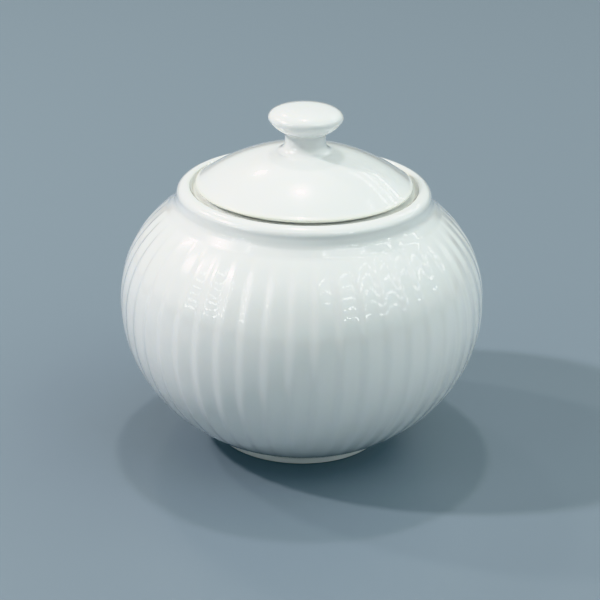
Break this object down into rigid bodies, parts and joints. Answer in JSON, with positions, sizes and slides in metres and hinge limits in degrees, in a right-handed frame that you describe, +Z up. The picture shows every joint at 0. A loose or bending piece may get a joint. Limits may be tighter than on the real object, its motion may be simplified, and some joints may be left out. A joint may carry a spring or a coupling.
{
  "type": "lidded sugar bowl",
  "caption": "Round lidded bowl for sugar: ribbed globe body on a foot ring, ledged rim, and a domed lid with a mushroom knob that lifts off.",
  "frame": {"origin": "centre of the foot ring's bearing face, on the surface that the bowl stands on", "axes": "+Z up along the axis of the bowl and the lid; the front is -Y, and a rib crest lies on each of -Y, +X, +Y and -X"},
  "size_m": [0.11, 0.11, 0.1047],
  "materials": {
    "bowl_glaze": "gloss white glaze, bare fired clay on the foot ring's bearing face",
    "lid_glaze": "gloss white glaze, bare fired clay on the ring that sits on the ledge"
  },
  "bodies": {
    "bowl": {"bowl": "bowl_glaze"},
    "lid": {"lid": "lid_glaze"}
  },
  "joints": [
    {"name": "lid_lift", "type": "slide", "parent": "bowl", "child": "lid", "axis": [0, 0, 1], "range_m": [0, 0.06]}
  ]
}
